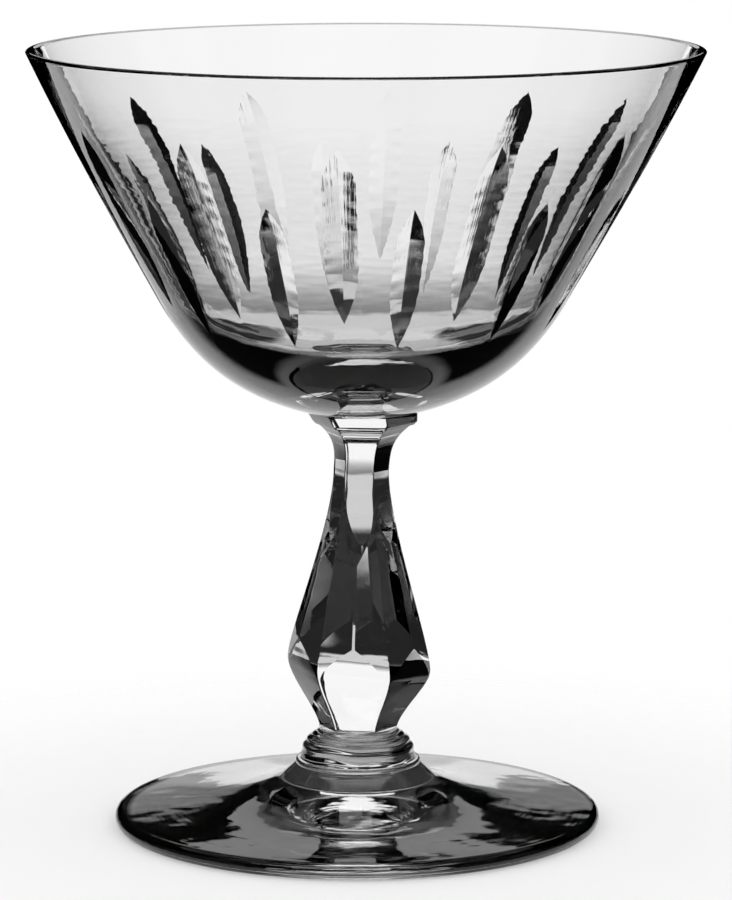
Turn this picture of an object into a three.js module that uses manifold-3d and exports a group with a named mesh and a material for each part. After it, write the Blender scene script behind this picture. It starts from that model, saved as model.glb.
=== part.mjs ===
// Cut-glass sherbet glass, a stemmed dessert and champagne glass made of five pieces of clear glass.
// Millimetres, +Z up. The origin is the centre of the ring that the foot stands on.
// Turns about +Z are in degrees from the front, -Y, and grow towards +X.

import * as THREE from 'three';
import { mergeVertices } from 'three/addons/utils/BufferGeometryUtils.js';
import Module from 'manifold-3d';

// Heights of the five pieces, which stack face to face
const FOOT_HEIGHT = 9.4;
const COLLAR_HEIGHT = 5.6;
const STEM_HEIGHT = 46.4;
const MERESE_HEIGHT = 2.1;
const BOWL_HEIGHT = 54.5;

// Foot: a trumpet slope between a rounded rim and the hub that carries the collar
const FOOT_DIAMETER = 73.8;
const FOOT_RIM_THICKNESS = 2.5;
const FOOT_SLOPE_ANGLE = 7;
const FOOT_FLARE_ANGLE = 24;
const FOOT_HUB_LEDGE = 1.3;
const FOOT_HUB_STEP = 2.3;
const FOOT_HUB_ROUND = 1.2;
const FOOT_RING_WIDTH = 6;
const FOOT_HOLLOW_DEPTH = 0.7;

// Collar: a turned bead with tool-mark ridges, standing on a thin flange
const COLLAR_FLANGE_DIAMETER = 19;
const COLLAR_FLANGE_THICKNESS = 0.7;
const COLLAR_BEAD_DIAMETER = 17.5;
const COLLAR_BEAD_REACH = 4;
const COLLAR_NECK_REACH = 1.5;
const COLLAR_RIDGE_COUNT = 5;
const COLLAR_RIDGE_DEPTH = 0.2;

// Stem: six sides, narrow under the bowl, widest at the knee and narrow again on the collar
const SIDE_COUNT = 6;
const SIDE_TURN = -5;
const STEM_LOWER_NECK_WIDTH = 11.9;
const STEM_KNEE_WIDTH = 21.8;
const STEM_KNEE_HEIGHT = 9.6;
const STEM_KNEE_ROUND_ABOVE = 3.8;
const STEM_KNEE_ROUND_BELOW = 2.6;
const STEM_KNEE_LEAN = 1;
const STEM_NECK_WIDTH = 8.4;
const STEM_NECK_ROUND = 8;
const STEM_LOWER_REACH = 3;
const STEM_LOWER_ANGLE = 75;
const STEM_FLARE_HEIGHT = 7.1;
const STEM_FLARE_REACH = 3.4;
const STEM_FLARE_ANGLE = 38;
const STEM_FLARE_SHIFT = 0.45;

// Panels: each side is flat at the neck and flat below the knee. Between those two panels it keeps a low
// ridge along its middle, so the panels end in points. Tips are in heights above the knee.
const NECK_PANEL_TIP = 16.2;
const NECK_PANEL_RUN_OUT = 9.2;
const LOWER_PANEL_TIP = 4.1;
const LOWER_PANEL_RUN_OUT = 6.2;
const PANEL_POINTEDNESS = 1.8;
const LEAST_PANEL_SHARE = 0.03;
const MOST_PANEL_SHARE = 0.97;

// Merese: the six-sided disc between stem and bowl
const MERESE_WIDTH = 16.8;
const MERESE_BEVEL = 0.5;
const MERESE_LEDGE = 1.3;

// Bowl: a flared cone above a round shoulder, thin at the lip and thick at the bottom
const RIM_DIAMETER = 101.2;
const LIP_THICKNESS = 1.3;
const LIP_CROWN = 0.35;
const RIM_FLARE_ANGLE = 26;
const SHOULDER_DIAMETER = 61.4;
const SHOULDER_HEIGHT = 17;
const SHOULDER_FLARE_ANGLE = 29.5;
const SHOULDER_WALL = 2.4;
const BOWL_BOTTOM_THICKNESS = 6.5;
const BOWL_PAD_INSET = 0.1;
const BOWL_PAD_ANGLE = 14;

// Flutes: two staggered rings of upright mitre cuts, each a V groove that runs out to a point at both ends
const FLUTES_PER_RING = 12;
const FLUTE_TURN = -5;
const TALL_FLUTE_DROP = 10.5;
const TALL_FLUTE_LENGTH = 26.6;
const TALL_FLUTE_WIDTH = 4.9;
const SHORT_FLUTE_DROP = 19.6;
const SHORT_FLUTE_LENGTH = 21.4;
const SHORT_FLUTE_WIDTH = 4.2;
const FLUTE_DEPTH = 0.8;
const FLUTE_TOP_RUN_OUT = 6;
const FLUTE_BOTTOM_RUN_OUT = 10;
const WHEEL_CLEARANCE = 0.6;
const WHEEL_SKIM = 0.02;

// Facets: how finely the round forms are divided
const BOWL_FACETS = 72;
const ROUND_FACETS = 48;
const CURVE_STEPS = 8;
const STEM_STEPS = 14;
const CONE_STEPS = 3;
const ROUND_STEPS = 4;
const FLUTE_STEPS = 10;
const OUTSIDE_SAMPLES = 60;
const EVEN_REACH = 0.38;
const SAME_POINT = 1e-4;

// Clear colourless glass
const GLASS_COLOUR = 0xf2f4f3;
const GLASS_ROUGHNESS = 0.03;
const GLASS_OPACITY = 0.35;

// Heights where the pieces meet
const COLLAR_BASE = FOOT_HEIGHT;
const STEM_BASE = COLLAR_BASE + COLLAR_HEIGHT;
const MERESE_BASE = STEM_BASE + STEM_HEIGHT;
const BOWL_BASE = MERESE_BASE + MERESE_HEIGHT;

const UPRIGHT = 90;
const LEVEL = 0;
const radians = THREE.MathUtils.degToRad;
const wasm = await Module();
wasm.setup();

function point(radius, height) {
  return new THREE.Vector2(radius, height);
}

// The point at a distance from another, in a direction given as an angle above the horizontal
function pointFrom(start, angle, distance) {
  const along = point(Math.cos(radians(angle)), Math.sin(radians(angle)));
  return start.clone().addScaledVector(along, distance);
}

// A smooth profile curve that leaves one point and arrives at another at the given angles.
// The reaches say how far each end keeps its direction; by default the curve is evenly round.
function sweep(start, startAngle, end, endAngle, startReach, endReach) {
  const evenReach = EVEN_REACH * start.distanceTo(end);
  return new THREE.CubicBezierCurve(
    start,
    pointFrom(start, startAngle, startReach ?? evenReach),
    pointFrom(end, endAngle, -(endReach ?? evenReach)),
    end,
  );
}

// A rounded edge: the part of an ellipse from one angle round to a larger one
function roundEdge(centre, halfWidth, halfHeight, startAngle, endAngle) {
  return new THREE.EllipseCurve(
    centre.x, centre.y, halfWidth, halfHeight, radians(startAngle), radians(endAngle),
  );
}

// Points of several curves in a row, with each meeting point kept once
function joined(...pieces) {
  const points = [];
  for (const [curve, steps] of pieces) {
    for (const next of curve.getPoints(steps)) {
      const last = points.at(-1);
      if (!last || last.distanceTo(next) > SAME_POINT) points.push(next);
    }
  }
  return points;
}

// A solid turned about +Z from a half profile that starts at the bottom of the axis and ends at its top
function turned(profile, facets) {
  const lathe = new THREE.LatheGeometry(profile, facets);
  lathe.rotateX(Math.PI / 2);
  return lathe;
}

// The bowl's outside from the pad to the lip, in heights above the pad
const rimRadius = RIM_DIAMETER / 2;
const lipBase = BOWL_HEIGHT - LIP_CROWN;
const padEdge = point(MERESE_WIDTH / 2 - BOWL_PAD_INSET, 0);
const shoulder = point(SHOULDER_DIAMETER / 2, SHOULDER_HEIGHT);
const shoulderAngle = UPRIGHT - SHOULDER_FLARE_ANGLE;
const rimAngle = UPRIGHT - RIM_FLARE_ANGLE;
const lipOuter = point(rimRadius, lipBase);
const lipInner = point(rimRadius - LIP_THICKNESS, lipBase);
const bowlShoulder = sweep(padEdge, BOWL_PAD_ANGLE, shoulder, shoulderAngle);
const bowlCone = sweep(shoulder, shoulderAngle, lipOuter, rimAngle);

// The bowl's wall as a half profile: pad, outside, rounded lip, inside down to the thick bottom
function bowlProfile() {
  const bottom = point(0, BOWL_BOTTOM_THICKNESS);
  const innerShoulder = pointFrom(shoulder, shoulderAngle + UPRIGHT, SHOULDER_WALL);
  const lipHalf = LIP_THICKNESS / 2;
  const lip = roundEdge(point(rimRadius - lipHalf, lipBase), lipHalf, LIP_CROWN, LEVEL, 2 * UPRIGHT);
  const innerCone = sweep(lipInner, rimAngle + 2 * UPRIGHT, innerShoulder, shoulderAngle + 2 * UPRIGHT);
  const innerBottom = sweep(innerShoulder, shoulderAngle + 2 * UPRIGHT, bottom, 2 * UPRIGHT);
  return [point(0, 0), ...joined(
    [bowlShoulder, CURVE_STEPS],
    [bowlCone, CONE_STEPS],
    [lip, ROUND_STEPS],
    [innerCone, CONE_STEPS],
    [innerBottom, CURVE_STEPS],
  )];
}

// The place on the bowl's outside at a height, with the direction that points straight out of the wall there
const outsideSamples = joined([bowlShoulder, OUTSIDE_SAMPLES], [bowlCone, OUTSIDE_SAMPLES]);
function outsideAt(height) {
  const upper = outsideSamples.findIndex((sample) => sample.y >= height);
  const above = outsideSamples[upper];
  const below = outsideSamples[upper - 1];
  const place = below.clone().lerp(above, (height - below.y) / (above.y - below.y));
  const along = above.clone().sub(below).normalize();
  return { place, outward: point(along.y, -along.x) };
}

// A grinding-wheel cut as a solid: a V whose keel dives from the surface to full depth and rises out again
function fluteCutter(top, length, width) {
  const spread = width / 2 / FLUTE_DEPTH;
  const positions = [];
  for (let step = 0; step <= FLUTE_STEPS; step += 1) {
    const height = top - length + (length * step) / FLUTE_STEPS;
    const fromTop = top - height;
    const fromBottom = length - fromTop;
    const dive = Math.min(fromBottom / FLUTE_BOTTOM_RUN_OUT, fromTop / FLUTE_TOP_RUN_OUT, 1);
    const depth = FLUTE_DEPTH * dive * (2 - dive) - WHEEL_SKIM;
    const { place, outward } = outsideAt(height);
    const keel = place.clone().addScaledVector(outward, -depth);
    const crown = place.clone().addScaledVector(outward, WHEEL_CLEARANCE);
    const half = (depth + WHEEL_CLEARANCE) * spread;
    positions.push(0, -keel.x, keel.y, half, -crown.x, crown.y, -half, -crown.x, crown.y);
  }
  const triangles = [0, 1, 2];
  for (let step = 0; step < FLUTE_STEPS; step += 1) {
    for (let corner = 0; corner < 3; corner += 1) {
      const a = 3 * step + corner;
      const b = 3 * step + ((corner + 1) % 3);
      triangles.push(a, a + 3, b, b, a + 3, b + 3);
    }
  }
  const last = 3 * FLUTE_STEPS;
  triangles.push(last, last + 2, last + 1);
  const cutter = new THREE.BufferGeometry();
  cutter.setAttribute('position', new THREE.Float32BufferAttribute(positions, 3));
  cutter.setIndex(triangles);
  return cutter;
}

function toSolid(geometry) {
  const bare = geometry.clone();
  bare.deleteAttribute('normal');
  bare.deleteAttribute('uv');
  const merged = mergeVertices(bare, SAME_POINT);
  return new wasm.Manifold(new wasm.Mesh({
    numProp: 3,
    vertProperties: new Float32Array(merged.attributes.position.array),
    triVerts: new Uint32Array(merged.index.array),
  }));
}

function toGeometry(solid) {
  const mesh = solid.getMesh();
  const geometry = new THREE.BufferGeometry();
  geometry.setAttribute('position', new THREE.Float32BufferAttribute(mesh.vertProperties, 3));
  geometry.setIndex(Array.from(mesh.triVerts));
  return geometry;
}

function bowlGeometry() {
  const pitch = 360 / FLUTES_PER_RING;
  const rings = [
    [FLUTE_TURN, TALL_FLUTE_DROP, TALL_FLUTE_LENGTH, TALL_FLUTE_WIDTH],
    [FLUTE_TURN + pitch / 2, SHORT_FLUTE_DROP, SHORT_FLUTE_LENGTH, SHORT_FLUTE_WIDTH],
  ];
  let glass = toSolid(turned(bowlProfile(), BOWL_FACETS));
  for (const [turn, drop, length, width] of rings) {
    const cutter = fluteCutter(BOWL_HEIGHT - drop, length, width);
    for (let copy = 0; copy < FLUTES_PER_RING; copy += 1) {
      const cut = cutter.clone().rotateZ(radians(turn + copy * pitch));
      glass = glass.subtract(toSolid(cut));
    }
  }
  return toGeometry(glass);
}

// The corners of one ring of a six-sided piece, three for each side: the two edges of its panel and the
// corner that it shares with the next side. The share is how much of the side's width the panel takes.
// The ring is shifted towards +X and leans, so that it is higher on the -X side.
function sidedRing({ radius, height, share = 1, shift = 0, lean = 0 }) {
  const step = 360 / SIDE_COUNT;
  const panelShare = THREE.MathUtils.clamp(share, LEAST_PANEL_SHARE, MOST_PANEL_SHARE);
  const half = panelShare * radius * Math.sin(radians(step / 2));
  const panel = point(half, radius - half * Math.tan(radians(step / 4)));
  const corner = point(radius * Math.sin(radians(step / 2)), radius * Math.cos(radians(step / 2)));
  const ring = [];
  for (let side = 0; side < SIDE_COUNT; side += 1) {
    const turn = radians(SIDE_TURN + side * step);
    for (const [along, out] of [[-panel.x, panel.y], [panel.x, panel.y], [corner.x, corner.y]]) {
      const x = out * Math.sin(turn) + along * Math.cos(turn);
      const y = along * Math.sin(turn) - out * Math.cos(turn);
      ring.push(x + shift, y, height - lean * x);
    }
  }
  return ring;
}

// A solid through a stack of such rings, closed at both ends
function sidedGeometry(rings) {
  const corners = 3 * SIDE_COUNT;
  const bottomCentre = rings.length * corners;
  const topCentre = bottomCentre + 1;
  const positions = rings.flatMap(sidedRing);
  positions.push(0, 0, rings[0].height, 0, 0, rings.at(-1).height);
  const triangles = [];
  for (let corner = 0; corner < corners; corner += 1) {
    const next = (corner + 1) % corners;
    const topRing = bottomCentre - corners;
    triangles.push(bottomCentre, next, corner, topCentre, topRing + corner, topRing + next);
    for (let ring = 0; ring < rings.length - 1; ring += 1) {
      const a = ring * corners + corner;
      const b = ring * corners + next;
      triangles.push(a, b, a + corners, b, b + corners, a + corners);
    }
  }
  const geometry = new THREE.BufferGeometry();
  geometry.setAttribute('position', new THREE.Float32BufferAttribute(positions, 3));
  geometry.setIndex(triangles);
  return geometry;
}

// How much of a side's width its panel takes: all of it, less and less near a tip, none between the tips
function panelShareAt(aboveKnee) {
  const intoNeckTip = (NECK_PANEL_TIP + NECK_PANEL_RUN_OUT - aboveKnee) / NECK_PANEL_RUN_OUT;
  const intoLowerTip = (aboveKnee - LOWER_PANEL_TIP + LOWER_PANEL_RUN_OUT) / LOWER_PANEL_RUN_OUT;
  const intoTip = THREE.MathUtils.clamp(Math.min(intoNeckTip, intoLowerTip), 0, 1);
  return 1 - intoTip ** PANEL_POINTEDNESS;
}

// The stem's corner line from the collar up to the merese. Hand grinding left its knee leaning
// and its top flare a little to one side.
function stemGeometry() {
  const lowerNeck = point(STEM_LOWER_NECK_WIDTH / 2, 0);
  const knee = point(STEM_KNEE_WIDTH / 2, STEM_KNEE_HEIGHT);
  const neck = point(STEM_NECK_WIDTH / 2, STEM_HEIGHT - STEM_FLARE_HEIGHT);
  const top = point(MERESE_WIDTH / 2 - MERESE_LEDGE, STEM_HEIGHT);
  const belowKnee = sweep(
    lowerNeck, STEM_LOWER_ANGLE, knee, UPRIGHT, STEM_LOWER_REACH, STEM_KNEE_ROUND_BELOW,
  );
  const aboveKnee = sweep(knee, UPRIGHT, neck, UPRIGHT, STEM_KNEE_ROUND_ABOVE, STEM_NECK_ROUND);
  const flare = sweep(neck, UPRIGHT, top, STEM_FLARE_ANGLE, STEM_FLARE_REACH, STEM_FLARE_REACH);
  const corner = joined([belowKnee, STEM_STEPS], [aboveKnee, STEM_STEPS], [flare, CURVE_STEPS]);
  return sidedGeometry(corner.map(({ x: radius, y: height }) => {
    const rise = height / knee.y;
    const fall = (neck.y - height) / (neck.y - knee.y);
    const kneeShare = Math.max(Math.min(rise, fall), 0);
    const flareShare = Math.max((height - neck.y) / STEM_FLARE_HEIGHT, 0);
    return {
      radius,
      height,
      share: panelShareAt(height - knee.y),
      shift: flareShare * STEM_FLARE_SHIFT,
      lean: (kneeShare * STEM_KNEE_LEAN) / knee.x,
    };
  }));
}

// The merese is ground away underneath where the flare stands back, so its lower rings follow the flare
function mereseGeometry() {
  const radius = MERESE_WIDTH / 2;
  const shift = STEM_FLARE_SHIFT;
  return sidedGeometry([
    { radius: radius - shift - MERESE_BEVEL, height: 0, shift },
    { radius: radius - shift, height: MERESE_BEVEL, shift },
    { radius, height: MERESE_HEIGHT },
  ]);
}

// The collar's profile: thin flange, then a bead rounded in to the stem's neck. Turning left the bead
// with ridges, a crest and a groove in turn.
function collarGeometry() {
  const flangeRound = COLLAR_FLANGE_THICKNESS / 2;
  const flangeCentre = point(COLLAR_FLANGE_DIAMETER / 2 - flangeRound, flangeRound);
  const flange = roundEdge(flangeCentre, flangeRound, flangeRound, -UPRIGHT, UPRIGHT);
  const beadFoot = point(COLLAR_BEAD_DIAMETER / 2, COLLAR_FLANGE_THICKNESS);
  const neck = point(STEM_LOWER_NECK_WIDTH / 2, COLLAR_HEIGHT);
  const bead = sweep(beadFoot, UPRIGHT, neck, UPRIGHT, COLLAR_BEAD_REACH, COLLAR_NECK_REACH);
  const ridges = bead.getSpacedPoints(2 * COLLAR_RIDGE_COUNT).map((place, step) => {
    const depth = (step % 2) * COLLAR_RIDGE_DEPTH;
    return point(place.x - depth, place.y);
  });
  return turned([
    point(0, 0),
    ...joined([flange, ROUND_STEPS]),
    ...ridges,
    point(0, COLLAR_HEIGHT),
  ], ROUND_FACETS);
}

// The foot's profile: shallow hollow underneath, standing ring, round rim, trumpet slope, hub
function footGeometry() {
  const rimRound = FOOT_RIM_THICKNESS / 2;
  const rimCentre = point(FOOT_DIAMETER / 2 - rimRound, rimRound);
  const ringInner = point(rimCentre.x - FOOT_RING_WIDTH, 0);
  const hubRadius = COLLAR_FLANGE_DIAMETER / 2 + FOOT_HUB_LEDGE;
  const hubFoot = point(hubRadius, FOOT_HEIGHT - FOOT_HUB_STEP);
  const hubCentre = point(hubRadius - FOOT_HUB_ROUND, FOOT_HEIGHT - FOOT_HUB_ROUND);
  const slopeStart = point(rimCentre.x, FOOT_RIM_THICKNESS);
  const inward = 2 * UPRIGHT;
  return turned([
    ...joined(
      [sweep(point(0, FOOT_HOLLOW_DEPTH), LEVEL, ringInner, LEVEL), CONE_STEPS],
      [roundEdge(rimCentre, rimRound, rimRound, -UPRIGHT, UPRIGHT), ROUND_STEPS],
      [sweep(slopeStart, inward - FOOT_SLOPE_ANGLE, hubFoot, inward - FOOT_FLARE_ANGLE), CURVE_STEPS],
      [roundEdge(hubCentre, FOOT_HUB_ROUND, FOOT_HUB_ROUND, LEVEL, UPRIGHT), ROUND_STEPS],
    ),
    point(0, FOOT_HEIGHT),
  ], ROUND_FACETS);
}

const glass = new THREE.Group();

function addPiece(name, geometry, base) {
  const material = new THREE.MeshStandardMaterial({
    color: GLASS_COLOUR,
    roughness: GLASS_ROUGHNESS,
    metalness: 0,
    transparent: true,
    opacity: GLASS_OPACITY,
  });
  const piece = new THREE.Mesh(geometry, material);
  piece.name = name;
  piece.position.z = base;
  glass.add(piece);
}

addPiece('foot', footGeometry(), 0);
addPiece('collar', collarGeometry(), COLLAR_BASE);
addPiece('stem', stemGeometry(), STEM_BASE);
addPiece('merese', mereseGeometry(), MERESE_BASE);
addPiece('bowl', bowlGeometry(), BOWL_BASE);

export default glass;
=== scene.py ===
# %% [markdown]
# # A cut-glass sherbet glass
# The glass is five pieces of clear glass that were joined hot: foot, collar, stem, merese and bowl.
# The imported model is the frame, and it fixes every size and place. Each piece is made again here with a
# finer mesh, because light bends at every facet of a coarse one and the glass would look chipped.

# %% Load the frame
import math

import bpy
import numpy as np
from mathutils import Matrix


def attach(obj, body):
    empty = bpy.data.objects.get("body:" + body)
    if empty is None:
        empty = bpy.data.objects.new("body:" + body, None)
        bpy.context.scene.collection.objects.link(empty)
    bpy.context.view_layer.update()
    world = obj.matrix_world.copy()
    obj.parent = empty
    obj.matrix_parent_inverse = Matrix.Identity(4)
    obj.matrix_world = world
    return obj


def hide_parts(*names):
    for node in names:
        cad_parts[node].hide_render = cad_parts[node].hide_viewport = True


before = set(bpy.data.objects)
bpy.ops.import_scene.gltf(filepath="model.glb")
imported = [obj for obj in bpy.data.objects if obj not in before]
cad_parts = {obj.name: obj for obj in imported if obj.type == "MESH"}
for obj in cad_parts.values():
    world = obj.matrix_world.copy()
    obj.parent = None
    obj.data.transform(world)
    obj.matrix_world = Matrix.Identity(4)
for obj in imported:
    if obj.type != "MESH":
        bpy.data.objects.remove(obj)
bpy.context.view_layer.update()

print("nodes:", sorted(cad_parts))

# %% [markdown]
# ## Profiles
# Every round piece starts as a half profile, points of radius and height in millimetres. Glass that was
# worked hot has no straight corners, so a profile is a few smooth curves, each given by its two ends
# and the directions in which it leaves and arrives. That is fewer numbers than a list of points, and the
# curve can be sampled as finely as the light needs.

# %% Curves for profiles
MM = 0.001
EVEN_REACH = 0.38
UPRIGHT = 90
LEVEL = 0
INWARD = 180


def heading(angle):
    """The direction at an angle above the horizontal."""
    return np.array([math.cos(math.radians(angle)), math.sin(math.radians(angle))])


def sweep(start, start_angle, end, end_angle, steps, reaches=None):
    """Points of a smooth curve; the reaches say how far each end keeps its direction."""
    start, end = np.array(start, float), np.array(end, float)
    even = EVEN_REACH * np.linalg.norm(end - start)
    start_reach, end_reach = reaches or (even, even)
    leaving = start + start_reach * heading(start_angle)
    arriving = end - end_reach * heading(end_angle)
    t = np.linspace(0, 1, steps + 1)[:, None]
    s = 1 - t
    return s**3 * start + 3 * s * s * t * leaving + 3 * s * t * t * arriving + t**3 * end


def round_edge(centre, half_width, half_height, start_angle, end_angle, steps):
    """Points of a rounded edge, part of an ellipse."""
    turns = np.radians(np.linspace(start_angle, end_angle, steps + 1))
    return np.array(centre) + np.stack([half_width * np.cos(turns), half_height * np.sin(turns)], axis=1)


def chain(*curves):
    """One profile out of several curves that share their end points."""
    return np.vstack([curves[0]] + [curve[1:] for curve in curves[1:]])


# %% [markdown]
# ## Closed grids
# A turned or ground piece is a stack of rings with equally many points, skinned with quads and closed at
# both ends by a fan. A boolean cut would leave slivers that scatter the light, so even the cut bowl is
# made this way. Turns are in degrees from the front, -Y, and grow towards +X. The whole glass stands a
# little out of true, as hand-made glass does: it leans 0.7 mm to the right at the rim.

# %% From rings to a closed mesh
OUT_OF_TRUE = 0.0117
TRUE_HEIGHT = 59


def ring(radii, turns, height):
    """Points round the axis; radius, turn and height may each be one number or one per point."""
    turns = np.radians(turns)
    radii, turns, height = np.broadcast_arrays(radii, turns, height)
    return np.stack([radii * np.sin(turns), -radii * np.cos(turns), height], axis=-1)


def turned_rings(profile, turns):
    return np.stack([ring(radius, turns, height) for radius, height in profile])


def closed_piece(name, rings, base, sharp_angle, finishes=None, end_finishes=(0, 0)):
    """A closed mesh through the rings, standing on a base height, with a finish number for each quad."""
    rows, columns = rings.shape[:2]
    ends = np.stack([rings[0].mean(axis=0), rings[-1].mean(axis=0)])
    points = np.vstack([rings.reshape(-1, 3), ends]) + (0, 0, base)
    points[:, 0] += OUT_OF_TRUE * (points[:, 2] - TRUE_HEIGHT)
    here = np.arange(rows * columns).reshape(rows, columns)
    beside = np.roll(here, -1, axis=1)
    quads = np.stack([here[:-1], beside[:-1], beside[1:], here[1:]], axis=-1).reshape(-1, 4)
    first, last = rows * columns, rows * columns + 1
    fans = [(first, b, a) for a, b in zip(here[0], beside[0])]
    fans += [(last, a, b) for a, b in zip(here[-1], beside[-1])]
    mesh = bpy.data.meshes.new(name)
    mesh.from_pydata((points * MM).tolist(), [], quads.tolist() + fans)
    if finishes is None:
        finishes = np.zeros((rows - 1, columns))
    face_finishes = np.concatenate([finishes.ravel(), np.repeat(end_finishes, columns)])
    mesh.polygons.foreach_set("material_index", face_finishes.astype("i"))
    mesh.shade_smooth()
    mesh.set_sharp_from_angle(angle=math.radians(sharp_angle))
    mesh.validate()
    piece = bpy.data.objects.new(name, mesh)
    bpy.context.collection.objects.link(piece)
    print(f"{name}: {len(mesh.vertices)} points, {len(mesh.polygons)} faces")
    return piece


# %% [markdown]
# ## Foot
# A gather of glass spun out to a disc: a rounded rim, a slope that rises like a trumpet, and a hub that
# carries the collar. It stands on a flat ring, and the middle of its underside is a shallow hollow.
# One profile, turned, gives all of that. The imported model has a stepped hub. Here it is a cone of nearly
# the same size, because that comes closer to the light and dark rings in the photograph.

# %% Foot
FOOT_HEIGHT = 9.4
FOOT_DIAMETER = 73.8
FOOT_RIM_THICKNESS = 2.5
FOOT_SLOPE_ANGLE = 7
FOOT_FLARE_ANGLE = 24
FOOT_HUB_LEDGE = 1.3
FOOT_HUB_STEP = 2.3
FOOT_HUB_ANGLE = 45
FOOT_HUB_SPREAD = 1
FOOT_HUB_LIP = 0.3
FOOT_RING_WIDTH = 6
FOOT_HOLLOW_DEPTH = 0.7
COLLAR_FLANGE_DIAMETER = 19
COLLAR_FLANGE_THICKNESS = 0.7
FULL_TURN = 360
ROUND_COLUMNS = 192
AXIS_GAP = 0.4
CLEAR, FUSED = 0, 1

round_turns = np.arange(ROUND_COLUMNS) * FULL_TURN / ROUND_COLUMNS
flange_round = COLLAR_FLANGE_THICKNESS / 2
flange_flat = COLLAR_FLANGE_DIAMETER / 2 - flange_round


def foot_profile():
    rim_round = FOOT_RIM_THICKNESS / 2
    rim_centre = (FOOT_DIAMETER / 2 - rim_round, rim_round)
    hub_radius = COLLAR_FLANGE_DIAMETER / 2 + FOOT_HUB_LEDGE
    hub_foot = (hub_radius + FOOT_HUB_SPREAD, FOOT_HEIGHT - FOOT_HUB_STEP)
    hub_top = (flange_flat + FOOT_HUB_LIP, FOOT_HEIGHT)
    ring_inner = (rim_centre[0] - FOOT_RING_WIDTH, 0)
    slope_start = (rim_centre[0], FOOT_RIM_THICKNESS)
    return chain(
        sweep((AXIS_GAP, FOOT_HOLLOW_DEPTH), LEVEL, ring_inner, LEVEL, 16),
        sweep(ring_inner, LEVEL, (rim_centre[0], 0), LEVEL, 4),
        round_edge(rim_centre, rim_round, rim_round, -UPRIGHT, UPRIGHT, 20),
        sweep(slope_start, INWARD - FOOT_SLOPE_ANGLE, hub_foot, INWARD - FOOT_FLARE_ANGLE, 36),
        sweep(hub_foot, INWARD - FOOT_HUB_ANGLE, hub_top, INWARD - FOOT_HUB_ANGLE, 14),
        sweep(hub_top, INWARD, (flange_flat, FOOT_HEIGHT), INWARD, 2),
    )


foot_rings = turned_rings(foot_profile(), round_turns)
foot = closed_piece("foot_glass", foot_rings, base=0, sharp_angle=25, end_finishes=(CLEAR, FUSED))

# %% [markdown]
# ## Collar
# A small turned ring that joins stem to foot. The tool left ridges on it, and they run a little uneven
# because the ring was shaped by hand while it spun. The ridges are real geometry: they draw the dark
# lines across the bright band at the bottom of the stem.

# %% Collar
COLLAR_HEIGHT = 5.6
COLLAR_BEAD_DIAMETER = 17.5
COLLAR_BEAD_REACH = 4
COLLAR_NECK_REACH = 1.5
COLLAR_RIDGE_COUNT = 5
COLLAR_RIDGE_DEPTH = 0.2
COLLAR_RIDGE_WANDER = 0.16
COLLAR_WANDER_WAVES = [(1, 1.0, 0.8), (3, 0.5, 0.0), (7, 0.3, 2.0)]
STEM_LOWER_NECK_WIDTH = 11.9
SIDE_COUNT = 6
SIDE_TURN = -5
COLLAR_BASE = FOOT_HEIGHT
JOINED = (FUSED, FUSED)


def six_sided(corner_radius, turns):
    """The distance from the axis to a six-sided outline, at each turn."""
    step = FULL_TURN / SIDE_COUNT
    off_flat = np.radians((np.asarray(turns) - SIDE_TURN + step / 2) % step - step / 2)
    return corner_radius * math.cos(math.radians(step / 2)) / np.cos(off_flat)


def collar_rings():
    flange_centre = (flange_flat, flange_round)
    flange = round_edge(flange_centre, flange_round, flange_round, -UPRIGHT, UPRIGHT, 8)
    bead_foot = (COLLAR_BEAD_DIAMETER / 2, COLLAR_FLANGE_THICKNESS)
    neck = (STEM_LOWER_NECK_WIDTH / 2, COLLAR_HEIGHT)
    bead = sweep(bead_foot, UPRIGHT, neck, UPRIGHT, 60, (COLLAR_BEAD_REACH, COLLAR_NECK_REACH))
    rings = turned_rings(chain(flange, sweep(flange[-1], INWARD, bead_foot, INWARD, 2)), round_turns)
    bead_rings = turned_rings(bead, round_turns)
    along = np.linspace(0, 1, len(bead))[:, None]
    turns = np.radians(round_turns)
    waves = [share * np.sin(count * turns + phase) for count, share, phase in COLLAR_WANDER_WAVES]
    ridges = COLLAR_RIDGE_COUNT * along + COLLAR_RIDGE_WANDER * sum(waves)
    ease = np.sqrt(np.sin(np.pi * along))
    depth = COLLAR_RIDGE_DEPTH * ease * (1 - np.cos(2 * np.pi * ridges)) / 2
    bead_rings[..., :2] *= (1 - depth / bead[:, :1])[..., None]
    stem_seat = ring(six_sided(neck[0], round_turns), round_turns, COLLAR_HEIGHT)
    return np.concatenate([rings, bead_rings[1:], stem_seat[None]])


collar = closed_piece("collar_glass", collar_rings(), COLLAR_BASE, sharp_angle=35, end_finishes=JOINED)

# %% [markdown]
# ## Stem
# A drawn rod of glass, ground to six sides. Its corners follow one curve from the narrow foot of the
# stem out to the knee, in to the neck and out again under the bowl. Each side has a flat panel at the
# neck and another below the knee. Between them the side keeps a low ridge along its middle, so the
# panels end in points, like an arch. The faces have to stay truly flat across, or they would show a curved
# world, so each is one strip of quads between thin rounded edges.

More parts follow.
